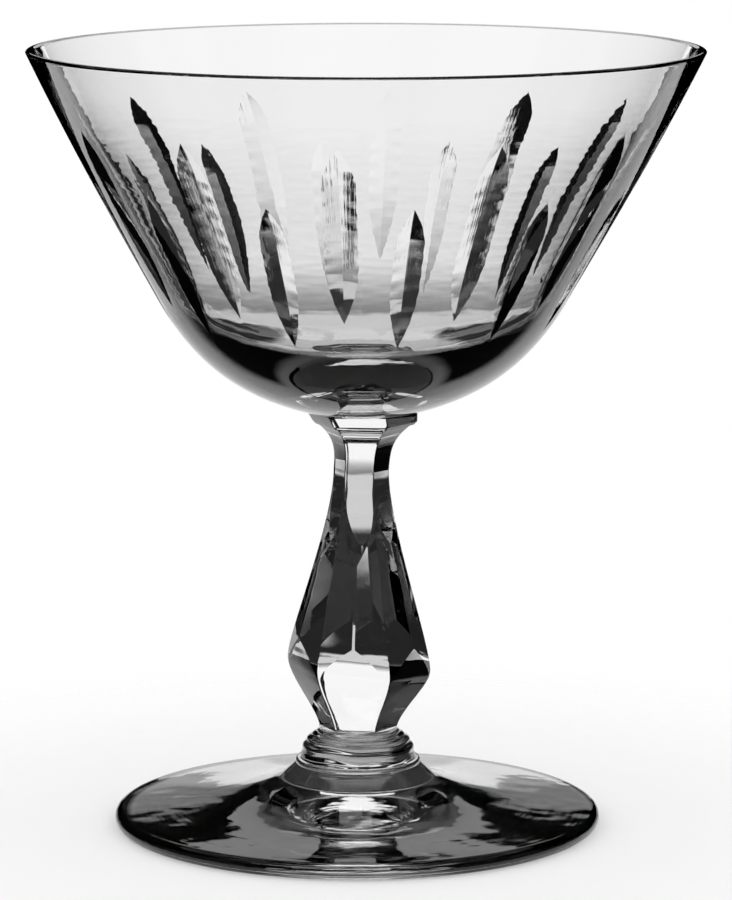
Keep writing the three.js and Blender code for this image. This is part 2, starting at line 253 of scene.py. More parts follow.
# %% Stem
STEM_HEIGHT = 46.4
STEM_KNEE_WIDTH = 21.8
STEM_KNEE_HEIGHT = 9.6
STEM_KNEE_ROUND_ABOVE = 3.8
STEM_KNEE_ROUND_BELOW = 2.6
STEM_KNEE_LEAN = 1
STEM_NECK_WIDTH = 8.4
STEM_NECK_ROUND = 8
STEM_LOWER_REACH = 3
STEM_LOWER_ANGLE = 75
STEM_FLARE_HEIGHT = 7.1
STEM_FLARE_REACH = 3.4
STEM_FLARE_ANGLE = 38
STEM_FLARE_SHIFT = 0.45
NECK_PANEL_TIP = 16.2
NECK_PANEL_RUN_OUT = 9.2
LOWER_PANEL_TIP = 4.1
LOWER_PANEL_RUN_OUT = 6.2
PANEL_POINTEDNESS = 1.8
LEAST_PANEL_SHARE = 0.03
MOST_PANEL_SHARE = 0.97
STEM_EDGE_ROUND = 0.35
MERESE_WIDTH = 16.8
MERESE_LEDGE = 1.3
EDGE_STEPS = 3
STEM_BASE = COLLAR_BASE + COLLAR_HEIGHT

side_step = FULL_TURN / SIDE_COUNT


def panel_share(above_knee):
    """How much of a side's width its panel takes at a height: all of it, less near a tip, none between."""
    under_neck_panel = NECK_PANEL_TIP + NECK_PANEL_RUN_OUT - above_knee
    over_lower_panel = above_knee - LOWER_PANEL_TIP + LOWER_PANEL_RUN_OUT
    ridge_share = min(under_neck_panel / NECK_PANEL_RUN_OUT, over_lower_panel / LOWER_PANEL_RUN_OUT)
    return 1 - np.clip(ridge_share, 0, 1) ** PANEL_POINTEDNESS


def sided_ring(corner_radius, height, share=1.0, shift=0, lean=0):
    """A ring of panels, ridge faces and rounded edges, shifted towards +X and tipped up on the -X side."""
    quarter = side_step / 4
    reach = corner_radius - STEM_EDGE_ROUND / math.cos(math.radians(quarter))
    share = np.clip(share, LEAST_PANEL_SHARE, MOST_PANEL_SHARE)
    half = share * reach * math.sin(math.radians(side_step / 2))
    out = reach - half * math.tan(math.radians(quarter))
    off_middle = math.degrees(math.atan2(half, out))
    edges = []
    for side in range(SIDE_COUNT):
        middle = SIDE_TURN + side * side_step
        panel_edge = math.hypot(out, half)
        for radius, turn, facing, spread in (
            (panel_edge, middle - off_middle, middle - quarter / 2, quarter / 2),
            (panel_edge, middle + off_middle, middle + quarter / 2, quarter / 2),
            (reach, middle + side_step / 2, middle + side_step / 2, quarter),
        ):
            facings = facing + np.linspace(-spread, spread, EDGE_STEPS + 1)
            edges.append(ring(radius, turn, height) + ring(STEM_EDGE_ROUND, facings, 0))
    points = np.concatenate(edges)
    points[:, 2] -= lean * points[:, 0]
    points[:, 0] += shift
    return points


def stem_rings():
    foot_corner = (STEM_LOWER_NECK_WIDTH / 2, 0)
    knee = (STEM_KNEE_WIDTH / 2, STEM_KNEE_HEIGHT)
    neck = (STEM_NECK_WIDTH / 2, STEM_HEIGHT - STEM_FLARE_HEIGHT)
    top = (MERESE_WIDTH / 2 - MERESE_LEDGE, STEM_HEIGHT)
    corner_line = chain(
        sweep(foot_corner, STEM_LOWER_ANGLE, knee, UPRIGHT, 60, (STEM_LOWER_REACH, STEM_KNEE_ROUND_BELOW)),
        sweep(knee, UPRIGHT, neck, UPRIGHT, 120, (STEM_KNEE_ROUND_ABOVE, STEM_NECK_ROUND)),
        sweep(neck, UPRIGHT, top, STEM_FLARE_ANGLE, 30, (STEM_FLARE_REACH, STEM_FLARE_REACH)),
    )
    rings = []
    for radius, height in corner_line:
        knee_share = max(min(height / knee[1], (neck[1] - height) / (neck[1] - knee[1])), 0)
        flare_share = max((height - neck[1]) / STEM_FLARE_HEIGHT, 0)
        lean = knee_share * STEM_KNEE_LEAN / knee[0]
        share = panel_share(height - knee[1])
        rings.append(sided_ring(radius, height, share, flare_share * STEM_FLARE_SHIFT, lean))
    return np.stack(rings)


stem = closed_piece("stem_glass", stem_rings(), STEM_BASE, sharp_angle=4, end_finishes=JOINED)

# %% [markdown]
# ## Merese
# The flat disc that the glassmaker drops on the end of the stem before the bowl goes on. The grinder
# took it down to the stem's six sides, with a bevel underneath.

# %% Merese
MERESE_HEIGHT = 2.1
MERESE_BEVEL = 0.5
MERESE_SOFT_EDGE = 0.15
MERESE_BASE = STEM_BASE + STEM_HEIGHT
SEAT_INSET = 0.2


def merese_rings():
    radius = MERESE_WIDTH / 2
    shift = STEM_FLARE_SHIFT
    stem_top = radius - MERESE_LEDGE
    soft = MERESE_SOFT_EDGE
    return np.stack([
        sided_ring(stem_top, 0, shift=shift),
        sided_ring(radius - shift - MERESE_BEVEL, 0, shift=shift),
        sided_ring(radius - shift, MERESE_BEVEL, shift=shift),
        sided_ring(radius, MERESE_HEIGHT - soft),
        sided_ring(radius - soft, MERESE_HEIGHT),
        sided_ring(radius - SEAT_INSET, MERESE_HEIGHT),
    ])


merese = closed_piece("merese_glass", merese_rings(), MERESE_BASE, sharp_angle=15, end_finishes=JOINED)

# %% [markdown]
# ## Bowl
# Blown thin at the lip and left thick at the bottom. The wall is two profiles, because the glass between
# them is what bends the light: an outside, and an inside that starts at the outer lip, goes over the
# rounded edge and runs down to the thick bottom. The outside is sampled finely, since the cuts look up
# its radius and slope at any height.

# %% Bowl wall
BOWL_HEIGHT = 54.5
RIM_DIAMETER = 101.2
LIP_THICKNESS = 1.3
LIP_CROWN = 0.35
RIM_FLARE_ANGLE = 26
SHOULDER_DIAMETER = 61.4
SHOULDER_HEIGHT = 17
SHOULDER_FLARE_ANGLE = 29.5
SHOULDER_WALL = 2.4
BOWL_BOTTOM_THICKNESS = 6.5
BOWL_PAD_INSET = 0.1
BOWL_PAD_ANGLE = 14
FINE_STEPS = 400
BOWL_BASE = MERESE_BASE + MERESE_HEIGHT

rim_radius = RIM_DIAMETER / 2
lip_base = BOWL_HEIGHT - LIP_CROWN
shoulder = np.array([SHOULDER_DIAMETER / 2, SHOULDER_HEIGHT])
shoulder_angle = UPRIGHT - SHOULDER_FLARE_ANGLE
rim_angle = UPRIGHT - RIM_FLARE_ANGLE
pad_edge = (MERESE_WIDTH / 2 - BOWL_PAD_INSET, 0)
outside = chain(
    sweep(pad_edge, BOWL_PAD_ANGLE, shoulder, shoulder_angle, FINE_STEPS),
    sweep(shoulder, shoulder_angle, (rim_radius, lip_base), rim_angle, FINE_STEPS),
)


def inside_profile():
    """From the outer lip over the top and down the inside to the bottom."""
    lip_half = LIP_THICKNESS / 2
    inner_shoulder = shoulder + SHOULDER_WALL * heading(shoulder_angle + UPRIGHT)
    lip_inner = (rim_radius - LIP_THICKNESS, lip_base)
    return chain(
        round_edge((rim_radius - lip_half, lip_base), lip_half, LIP_CROWN, LEVEL, INWARD, 20),
        sweep(lip_inner, rim_angle + INWARD, inner_shoulder, shoulder_angle + INWARD, 24),
        sweep(inner_shoulder, shoulder_angle + INWARD, (AXIS_GAP, BOWL_BOTTOM_THICKNESS), INWARD, 40),
    )


print("bowl stands at", BOWL_BASE, "mm and is", LIP_THICKNESS, "mm thick at the lip")

# %% [markdown]
# ## Cut flutes
# The bowl was cut on a grinding wheel with a V edge, so each flute has two flat sides that meet in a
# crease, and it runs out to a point where the wheel leaves the glass. The wheel shakes a little and
# leaves a fine chatter along the edges. The flutes stand in two staggered rings, tall ones and short ones.
# Each flute gets its own sector of the grid. The columns of a sector follow the flute's crease and
# its two outlines, so those are real mesh edges and stay crisp, with few faces.

# %% Cut flutes
FLUTES_PER_RING = 12
FLUTE_TURN = -5
TALL_FLUTE = {"drop": 10.5, "length": 26.6, "width": 4.9}
SHORT_FLUTE = {"drop": 19.6, "length": 21.4, "width": 4.2}
FLUTE_DEPTH = 0.8
FLUTE_TOP_RUN_OUT = 6
FLUTE_BOTTOM_RUN_OUT = 10
FLUTE_POINT = 0.05
CHATTER = 0.06
CHATTER_WAVES = [(9.7, 3.1), (6.1, 1.7)]
OTHER_EDGE_SEED = 7
FAN_LENGTH = 6
WALL_COLUMNS = 3
FACET_COLUMNS = 4
CUT = 2

sector = FULL_TURN / (2 * FLUTES_PER_RING)
plain_share = FACET_COLUMNS / (FACET_COLUMNS + WALL_COLUMNS)


def flute_depth(flute, height):
    """How deep the wheel goes at a height; negative past the ends, where it is a distance to the cut."""
    top = BOWL_HEIGHT - flute["drop"]
    from_top = top - height
    from_bottom = flute["length"] - from_top
    dive = min(from_bottom / FLUTE_BOTTOM_RUN_OUT, from_top / FLUTE_TOP_RUN_OUT, 1)
    return FLUTE_DEPTH * dive * (2 - dive) if dive > 0 else min(from_top, from_bottom)


def chatter(height, seed):
    """How far a cut edge wanders at a height, as a share of the cut's half width."""
    teeth = [math.sin(pitch * height + shift * seed) for pitch, shift in CHATTER_WAVES]
    return CHATTER * sum(teeth) / len(teeth)


def sector_row(flute, centre_turn, height):
    """The points of one sector at a height."""
    radius = np.interp(height, outside[:, 1], outside[:, 0])
    slope = np.gradient(outside[:, 0], outside[:, 1])
    flare = math.atan(np.interp(height, outside[:, 1], slope))
    depth = flute_depth(flute, height)
    even_half = plain_share * sector / 2
    if depth > 0:
        half = math.degrees(flute["width"] / 2 * depth / FLUTE_DEPTH / radius)
    else:
        half = even_half * min(-depth / FAN_LENGTH, 1)
    half = max(half, math.degrees(FLUTE_POINT / radius))
    across = np.linspace(0, 1, FACET_COLUMNS + 1)
    sides = []
    for seed in (centre_turn, centre_turn + OTHER_EDGE_SEED):
        edge = half * (1 + chatter(height, seed))
        sides.append(np.concatenate([edge * across, np.linspace(edge, sector / 2, WALL_COLUMNS + 1)[1:]]))
    turns = np.concatenate([-sides[0][:0:-1], sides[1][:-1]])
    depths = np.concatenate([1 - across, np.zeros(WALL_COLUMNS)]) * max(depth, 0)
    dip = np.concatenate([depths[:0:-1], depths[:-1]])
    return ring(radius - dip * math.cos(flare), centre_turn + turns, height + dip * math.sin(flare))


print(f"{2 * FLUTES_PER_RING} flutes, one in every {sector} degrees")

# %% [markdown]
# ## Bowl mesh
# The rows of the grid lie close together where the wheel went in, with one row exactly at each end of a
# cut, so that every point of a flute is sharp. The quads between a flute's outlines get the finish of
# the wheel, and all others that of blown glass. The inside keeps the columns of the outside, which makes
# one closed skin from the seat on the merese over the lip to the bottom.

# %% Bowl mesh
BOWL_ROWS = [26, 8, 34, 18, 16]
BOTTOM_ROW_EASE = 1.8


def bowl_heights():
    """Rows close together over the cuts, with one at each end of a cut."""
    ends = []
    for flute in (TALL_FLUTE, SHORT_FLUTE):
        top = BOWL_HEIGHT - flute["drop"]
        ends += [top, top - flute["length"]]
    heights = [0.0]
    for stop, steps in zip(sorted(ends) + [lip_base], BOWL_ROWS):
        start = heights[-1]
        share = np.linspace(0, 1, steps + 1)[1:]
        if start == 0:
            share = share ** BOTTOM_ROW_EASE
        heights += list(start + (stop - start) * share)
    return heights


def bowl_rings():
    flutes = [(TALL_FLUTE, SHORT_FLUTE)[index % 2] for index in range(2 * FLUTES_PER_RING)]
    turns = [FLUTE_TURN + index * sector for index in range(2 * FLUTES_PER_RING)]
    heights = bowl_heights()
    wall = np.stack([
        np.concatenate([sector_row(flute, turn, height) for flute, turn in zip(flutes, turns)])
        for height in heights
    ])
    last_row = wall[-1]
    column_turns = np.degrees(np.arctan2(last_row[:, 0], -last_row[:, 1]))
    inner = turned_rings(inside_profile()[1:], column_turns)
    seat = ring(six_sided(MERESE_WIDTH / 2 - SEAT_INSET, column_turns), column_turns, 0)
    per_sector = 2 * (FACET_COLUMNS + WALL_COLUMNS)
    in_flute = np.abs(np.arange(per_sector) - (per_sector - 1) / 2) < FACET_COLUMNS
    finishes = np.full((len(heights) + len(inner), len(column_turns)), CLEAR)
    for row, (low, high) in enumerate(zip(heights, heights[1:]), start=1):
        middle = (low + high) / 2
        cut = [in_flute * (flute_depth(flute, middle) > 0) for flute in flutes]
        finishes[row] = np.where(np.concatenate(cut), CUT, CLEAR)
    return np.concatenate([seat[None], wall, inner]), finishes


rings, finishes = bowl_rings()
bowl = closed_piece(
    "bowl_glass", rings, BOWL_BASE, sharp_angle=12, finishes=finishes, end_finishes=(FUSED, CLEAR)
)

# %% [markdown]
# ## Shader expressions
# A material is a tree of nodes, and building one by hand hides the maths in it. One small class wraps a
# socket, so that `1 - mask * 0.5` written on wires adds the Math nodes by itself. Every other node comes
# from one method that takes its type, its settings, and the values or links of its sockets.

# %% Shader expressions
class Wire:
    """A socket of a shader tree. Arithmetic on wires adds Math nodes."""

    def __init__(self, tree, socket=None):
        self.tree = tree
        self.socket = socket

    def add(self, kind, settings=None, inputs=None, output=0):
        node = self.tree.nodes.new(kind)
        for name, value in (settings or {}).items():
            setattr(node, name, value)
        for name, value in (inputs or {}).items():
            if isinstance(value, Wire):
                self.tree.links.new(value.socket, node.inputs[name])
            else:
                node.inputs[name].default_value = value
        return Wire(self.tree, node.outputs[output] if len(node.outputs) else None)

    def out(self, name):
        return Wire(self.tree, self.socket.node.outputs[name])

    def math(self, operation, first, second):
        return self.add("ShaderNodeMath", {"operation": operation}, {0: first, 1: second})

    def __add__(self, other):
        return self.math("ADD", self, other)

    def __sub__(self, other):
        return self.math("SUBTRACT", self, other)

    def __rsub__(self, other):
        return self.math("SUBTRACT", other, self)

    def __mul__(self, other):
        return self.math("MULTIPLY", self, other)

    def __lt__(self, other):
        return self.math("LESS_THAN", self, other)

    __radd__ = __add__
    __rmul__ = __mul__


def new_material(name):
    """A material with an empty tree, and the wire that nodes are added from."""
    material = bpy.data.materials.new(name)
    material.use_nodes = True
    material.node_tree.nodes.clear()
    return material, Wire(material.node_tree)


# %% [markdown]
# ## Clear glass
# All five pieces are the same clear glass: full transmission, no colour, and the index of refraction of
# ordinary soda-lime glass. What differs is the surface, so a finish is two recipes, one for the height of
# the bump and one for the roughness. Textures are laid out round the axis, because blowing, turning
# and cutting all leave marks that follow it.

# %% Clear glass
GLASS_IOR = 1.52
WALL_RADIUS = 0.04


def object_place(wire):
    return wire.add("ShaderNodeTexCoord").out("Object")


def glass_material(name, height, bump_distance, roughness):
    """Clear glass with a bump from a height wire and a roughness wire, both made by a recipe."""
    material, wire = new_material(name)
    place = object_place(wire)
    bump = wire.add("ShaderNodeBump", None, {"Height": height(wire, place), "Distance": bump_distance})
    shader = wire.add("ShaderNodeBsdfPrincipled", None, {
        "Base Color": (1, 1, 1, 1),
        "IOR": GLASS_IOR,
        "Transmission Weight": 1.0,
        "Roughness": roughness(wire, place),
        "Normal": bump,
    })
    wire.add("ShaderNodeOutputMaterial", None, {"Surface": shader})
    print(f"{name}: {len(material.node_tree.nodes)} nodes")
    return material


def noise(wire, place, scale, detail):
    settings = {"Vector": place, "Scale": scale, "Detail": detail}
    return wire.add("ShaderNodeTexNoise", None, settings).out("Fac")


def parts_of(wire, place):
    """The X, Y and Z of a place."""
    part = wire.add("ShaderNodeSeparateXYZ", None, {0: place})
    return part.out("X"), part.out("Y"), part.out("Z")


def way_round(x, y):
    """The distance round the axis from the front, measured where the bowl's wall is."""
    return x.math("ARCTAN2", x, 0 - y) * WALL_RADIUS


def reach_of(x, y):
    """The distance from the axis."""
    return x.math("SQRT", x * x + y * y, 0.0)


def stretched(wire, across, along, squeeze):
    """A place for textures that are drawn out in one direction."""
    return wire.add("ShaderNodeCombineXYZ", None, {"X": across, "Y": along * squeeze})


# %% [markdown]
# ## Blown glass
# Hot glass that was blown and spun sets with slow waves, and fine ones that were drawn out round the
# bowl. They are too shallow to see as shape, but the far edge of the bowl bends when it is seen through
# them. Two noises in the bump do that. A trace of uneven roughness stands for handling and dust.

# %% Blown glass
BLOWN_BUMP = 0.00012
BLOWN_WAVE_SCALE = 45.0
DRAWN_WAVE_SCALE = 130.0
DRAWN_WAVE_SQUEEZE = 4.0
DRAWN_WAVE_SHARE = 0.15
FAINT_HAZE = 0.012
HAZE_SCALE = 140.0


def blown_waves(wire, place):
    x, y, height = parts_of(wire, place)
    drawn_place = stretched(wire, way_round(x, y), height, DRAWN_WAVE_SQUEEZE)
    drawn = noise(wire, drawn_place, DRAWN_WAVE_SCALE, detail=1.0)
    return noise(wire, place, BLOWN_WAVE_SCALE, detail=1.0) + DRAWN_WAVE_SHARE * drawn


def faint_haze(wire, place):
    return FAINT_HAZE * noise(wire, place, HAZE_SCALE, detail=2.0)


blown_finish = glass_material("blown_glass", blown_waves, BLOWN_BUMP, faint_haze)

# %% [markdown]
# ## Wheel-cut glass
# The wheel's grains draw fine lines along each flute, and its shake leaves faint steps across them. Lines
# this fine would need millions of faces, so they are bump: a noise squeezed until it runs along
# the cut, and a weaker one across it. Polishing doesn't reach the bottom of every line, so the roughness
# is streaked the same way.

# %% Wheel-cut glass
CUT_BUMP = 0.00001
LINE_SCALE = 3200.0
LINE_SQUEEZE = 0.02
STEP_SCALE = 1300.0
STEP_SQUEEZE = 0.2
STEP_SHARE = 0.5
CUT_HAZE = 0.07
CUT_HAZE_SCALE = 2400.0
CUT_HAZE_SQUEEZE = 0.03


def wheel_lines(wire, place):
    x, y, height = parts_of(wire, place)
    around = way_round(x, y)
    lines = noise(wire, stretched(wire, around, height, LINE_SQUEEZE), LINE_SCALE, detail=3.0)
    steps = noise(wire, stretched(wire, height, around, STEP_SQUEEZE), STEP_SCALE, detail=1.0)
    return lines + STEP_SHARE * steps


def wheel_haze(wire, place):
    x, y, height = parts_of(wire, place)
    streaks = stretched(wire, way_round(x, y), height, CUT_HAZE_SQUEEZE)
    return CUT_HAZE * noise(wire, streaks, CUT_HAZE_SCALE, detail=2.0)


cut_finish = glass_material("cut_glass", wheel_lines, CUT_BUMP, wheel_haze)

# %% [markdown]
# ## Ground and polished glass
# Stem and merese were ground flat and then polished, which softens the faces by a hair. A single noise
# with short waves is enough: what a panel shows then looks a little liquid, as in the photograph.

# %% Ground and polished glass
GROUND_BUMP = 0.0001
GROUND_WAVE_SCALE = 160.0


def polished_waves(wire, place):
    return noise(wire, place, GROUND_WAVE_SCALE, detail=1.5)


ground_finish = glass_material("ground_glass", polished_waves, GROUND_BUMP, faint_haze)

# %% [markdown]
# ## Turned glass
# Foot and collar were shaped with a tool while they spun, so their marks are rings round the axis. The
# noise is laid out along reach plus height, which runs over the slope and up the hub alike. The waves are
# stronger than the bowl's, as the uneven dark bands on the photographed foot show.

# %% Turned glass
TURNED_BUMP = 0.00018
TURNED_WAVE_SCALE = 90.0
RING_SCALE = 1100.0
RING_SQUEEZE = 0.03
RING_SHARE = 0.06
SOFT_HAZE = 0.08


def turned_marks(wire, place):
    x, y, height = parts_of(wire, place)
    ring_place = stretched(wire, reach_of(x, y) + height, way_round(x, y), RING_SQUEEZE)
    rings = noise(wire, ring_place, RING_SCALE, detail=2.0)
    return noise(wire, place, TURNED_WAVE_SCALE, detail=2.0) + RING_SHARE * rings


def soft_haze(wire, place):
    return SOFT_HAZE * noise(wire, place, HAZE_SCALE, detail=2.0)


turned_finish = glass_material("turned_glass", turned_marks, TURNED_BUMP, soft_haze)

# %% [markdown]
# ## Fused joints
# Where two pieces meet they were fused, and light passes as if there were no surface. Leaving those faces
# out would open the meshes. They stay, with a finish that is wholly see-through.

# %% Fused joints
fused_finish, joint = new_material("fused_joint")
joint.add("ShaderNodeOutputMaterial", None, {
    "Surface": joint.add("ShaderNodeBsdfPrincipled", None, {"Alpha": 0.0}),
})

# %% [markdown]
# ## Dress the pieces
# Each piece gets its finishes in the order of the finish numbers in its mesh: clear, fused, cut. It rides
# on the only body there is, and it takes the place of its node.

# %% Dress the pieces
PIECES = [
    (foot, "foot", "foot_glass", [turned_finish, fused_finish]),
    (collar, "collar", "foot_glass", [turned_finish, fused_finish]),
    (stem, "stem", "stem_glass", [ground_finish, fused_finish]),
    (merese, "merese", "stem_glass", [ground_finish, fused_finish]),
    (bowl, "bowl", "bowl_glass", [blown_finish, fused_finish, cut_finish]),
]
for piece, node, slot, materials in PIECES:
    for material in materials:
        piece.data.materials.append(material)
    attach(piece, "root")
    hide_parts(node)
    print(f"{piece.name} replaces {node}, with {len(materials)} finishes")

# %% [markdown]
# ## World and floor
# Clear glass is photographed against a bright field: the light comes through it from a white backdrop.
# The world is plain white at strength 1. The floor is pale and keeps the shadow of the glass, and farther
# out it fades into the white, so that no horizon shows.

# %% World and floor
FLOOR_RADIUS = 2.5
FLOOR_DROP = 0.00005
FLOOR_TONE = 0.98
FLOOR_FADE = (0.045, 0.13)
DISC_POINTS = 96

world = bpy.data.worlds.new("white_studio")
bpy.context.scene.world = world
world.use_nodes = True
world.node_tree.nodes["Background"].inputs["Color"].default_value = (1, 1, 1, 1)
world.node_tree.nodes["Background"].inputs["Strength"].default_value = 1.0
disc_turns = np.arange(DISC_POINTS) * FULL_TURN / DISC_POINTS


def fading(wire, value, fade):
    """One before the fade's start, nothing past its end, smooth between."""
    start, end = fade
    return wire.add("ShaderNodeMapRange", {"interpolation_type": "SMOOTHSTEP"}, {
        "Value": value, "From Min": start, "From Max": end, "To Min": 1.0, "To Max": 0.0,
    })


def partly_clear(wire, share, tone):
    """A matt surface where the share is one, and see-through where it is nothing."""
    clear = wire.add("ShaderNodeBsdfTransparent")
    matt = wire.add("ShaderNodeBsdfDiffuse", None, {"Color": (tone, tone, tone, 1)})
    mix = wire.add("ShaderNodeMixShader", None, {0: share, 1: clear, 2: matt})
    wire.add("ShaderNodeOutputMaterial", None, {"Surface": mix})


def stage_mesh(name, points, faces, material):
    mesh = bpy.data.meshes.new(name)
    mesh.from_pydata(points, [], faces)
    mesh.materials.append(material)
    thing = bpy.data.objects.new(name, mesh)
    bpy.context.collection.objects.link(thing)
    print(f"stage: {name}")
    return thing


def stage_disc(name, radius, height, material):
    edge = ring(radius, disc_turns, height).tolist()
    return stage_mesh(name, edge, [list(range(DISC_POINTS))], material)


floor_finish, paint = new_material("pale_floor")
length = {"operation": "LENGTH"}
from_foot = paint.add("ShaderNodeVectorMath", length, {0: object_place(paint)}).out("Value")
partly_clear(paint, fading(paint, from_foot, FLOOR_FADE), FLOOR_TONE)
stage_disc("floor", FLOOR_RADIUS, -FLOOR_DROP, floor_finish)

# %% [markdown]
# ## Black cards
# In a bright field, glass gets its dark edges from black cards that stand just outside the view. Here they
# are seen only in and through the glass, and light that has left the floor passes through them, so that
# they don't shade it. The front and back cards show only to light that the glass has mirrored at
# least once, and the side cards' feet are hidden from light that comes straight out of the bowl's
# far wall. That light has a shorter way to a card than light from the stem, so its length tells them
# apart. A real studio can't do either, but it keeps the bowl clearer when it is seen from other sides.

# %% Black cards
CARD_DISTANCE = 0.36
CARD_TOP = 0.34
CARD_COLUMNS = 24
SIDE_CARDS = [(15, 78), (282, 345)]
FRONT_CARDS = [(78, 180), (180, 282)]
BACK_CARD = (-15, 15)
BACK_CARD_BOTTOM = 0.045
BACK_CARD_TOP = 0.16
CARD_FOOT = (0.02, 0.028)
CARD_FOOT_ONE_WALL = (0.06, 0.075)
BOWL_LIGHT_LENGTH = 0.35
ONE_WALL = 2.5
NO_BOUNCE = 0.5
BLACK = 0.0


def light_path(wire, name):
    return wire.add("ShaderNodeLightPath").out(name)


def larger(first, second):
    return first.math("MAXIMUM", first, second)


def not_mirrored(wire):
    """One for light that only went straight through glass."""
    return light_path(wire, "Glossy Depth") < NO_BOUNCE


def only_mirrored(wire):
    return 1 - not_mirrored(wire)


def without_foot(wire):
    """A side card whose foot is hidden from light straight out of the bowl, more of it for one wall."""
    height = parts_of(wire, object_place(wire))[2]
    from_bowl = light_path(wire, "Ray Length") < BOWL_LIGHT_LENGTH
    one_wall = light_path(wire, "Transmission Depth") < ONE_WALL
    tall_foot = one_wall * fading(wire, height, CARD_FOOT_ONE_WALL)
    foot_share = larger(tall_foot, fading(wire, height, CARD_FOOT))
    return 1 - not_mirrored(wire) * from_bowl * foot_share


def card_material(name, tone, cover):
    """A matt card that shades no floor: a ray that has left the floor goes through it."""
    material, wire = new_material(name)
    not_from_floor = light_path(wire, "Diffuse Depth") < NO_BOUNCE
    partly_clear(wire, not_from_floor * cover(wire), tone)
    return material


def only_in_glass(thing):
    thing.visible_camera = False
    thing.visible_diffuse = False
    thing.visible_shadow = False
    return thing


def upright_card(name, bottom, top, span, material):
    """A curved card that stands round the glass, over a span of degrees from the back."""
    turns = FULL_TURN / 2 - np.linspace(*span, CARD_COLUMNS)
    points = ring(CARD_DISTANCE, turns, bottom).tolist() + ring(CARD_DISTANCE, turns, top).tolist()
    columns = range(CARD_COLUMNS - 1)
    faces = [(i, i + 1, CARD_COLUMNS + i + 1, CARD_COLUMNS + i) for i in columns]
    only_in_glass(stage_mesh(name, points, faces, material))


black_card = card_material("black_card", BLACK, without_foot)
mirrored_card = card_material("mirrored_card", BLACK, only_mirrored)
for number, span in enumerate(SIDE_CARDS):
    upright_card(f"upright_card_{number}", 0.0, CARD_TOP, span, black_card)
for number, span in enumerate(FRONT_CARDS):
    upright_card(f"front_card_{number}", 0.0, CARD_TOP, span, mirrored_card)
upright_card("back_card", BACK_CARD_BOTTOM, BACK_CARD_TOP, BACK_CARD, mirrored_card)

# %% [markdown]
# ## Roof
# What hangs over the glass is seen twice. Light that goes through the glass sees a black roof, open at
# the back where the backdrop goes up. Light that the glass mirrors sees a dark grey cloth with
# soft folds, so that what foot and shoulder mirror isn't an even black. They are two discs at one
# height, each hidden from the other's light.

# %% Roof
ROOF_HEIGHT = 0.34
ROOF_RADIUS = 0.62
ROOF_GAP_TURN = (12, 15)
ROOF_GAP_START = (0.1, 0.14)
CLOTH_TONE = 0.08
CLOTH_SCALE = 9.0
CLOTH_FOLDS = (0.35, 0.65)
CLOTH_LEAST = 0.6


def polar_place(wire):
    """The reach from the axis and the angle off the back, in degrees."""
    x, y = parts_of(wire, object_place(wire))[:2]
    turn = wire.math("ABSOLUTE", wire.math("ARCTAN2", x, y), 0.0) * (180 / math.pi)
    return reach_of(x, y), turn


def roof_cover(wire):
    reach, turn = polar_place(wire)
    return 1 - fading(wire, turn, ROOF_GAP_TURN) * (1 - fading(wire, reach, ROOF_GAP_START))


def cloth_cover(wire):
    folds = noise(wire, object_place(wire), CLOTH_SCALE, detail=1.0)
    return CLOTH_LEAST + (1 - CLOTH_LEAST) * fading(wire, folds, CLOTH_FOLDS)


def card_disc(name, radius, height, tone, cover):
    return only_in_glass(stage_disc(name, radius, height, card_material(name, tone, cover)))


card_disc("roof_card", ROOF_RADIUS, ROOF_HEIGHT, BLACK, roof_cover).visible_glossy = False
card_disc("roof_cloth", ROOF_RADIUS, ROOF_HEIGHT, CLOTH_TONE, cloth_cover).visible_transmission = False

# %% [markdown]
# ## Dark patches on the table
# Stem and foot look down on the table, and in the photograph they are dark, with a bright strip from
# the backdrop. A table with soft dark patches gives that. Each patch has a range of angles off the back
# and of reaches from the axis, both with soft ends. They were placed by comparing tones with the
# photograph. The ones round the foot come first: light through both walls of the bowl sees less of them
# than light through the stem.

# %% Dark patches round the foot
BEHIND_TURN = (26, 56)
BEHIND_REACH = (0.25, 0.8)
SIDE_TURN_START = (56, 64)
SIDE_TURN_END = (104, 110)
SIDE_REACH = (0.3, 0.4)
CLOSE_REACH = (0.05, 0.11)
CLOSE_REACH_ONE_WALL = (0.2, 0.26)


def behind_glass(wire, reach, turn):
    return fading(wire, turn, BEHIND_TURN) * fading(wire, reach, BEHIND_REACH)


def beside_glass(wire, reach, turn):
    """Dark close to the foot, farther out for light through one wall, and farthest at the sides."""
    sideways = (1 - fading(wire, turn, SIDE_TURN_START)) * fading(wire, reach, SIDE_REACH)
    one_wall = light_path(wire, "Transmission Depth") < ONE_WALL
    close_one_wall = one_wall * fading(wire, reach, CLOSE_REACH_ONE_WALL)
    close = larger(fading(wire, reach, CLOSE_REACH), close_one_wall)
    return fading(wire, turn, SIDE_TURN_END) * larger(sideways, close)


# %% [markdown]
# ## Under the foot
# The foot is seen against the table right below it. That is grey, darkest in a wedge towards the back and
# palest on both sides of the wedge. Two bright patches in the middle of the wedge, with a dark gap
# between them, are painted highlights: they give the bright marks on the hub and on the slope in front of
# it.

# %% Under the foot
FOOT_DARKNESS = 0.35
WEDGE_DARKNESS = 0.58
WEDGE_TURN = (24, 30)
FLANK_PALENESS = 0.22
FLANK_TURN = (62, 68)
# painted highlights: two bright patches on the table under the foot, seen through hub and slope
HIGHLIGHT_PATCH_PALENESS = 0.8
HIGHLIGHT_PATCH_TURN = (8, 12)
GAP_START = (0.0145, 0.016)
GAP_END = (0.0225, 0.024)


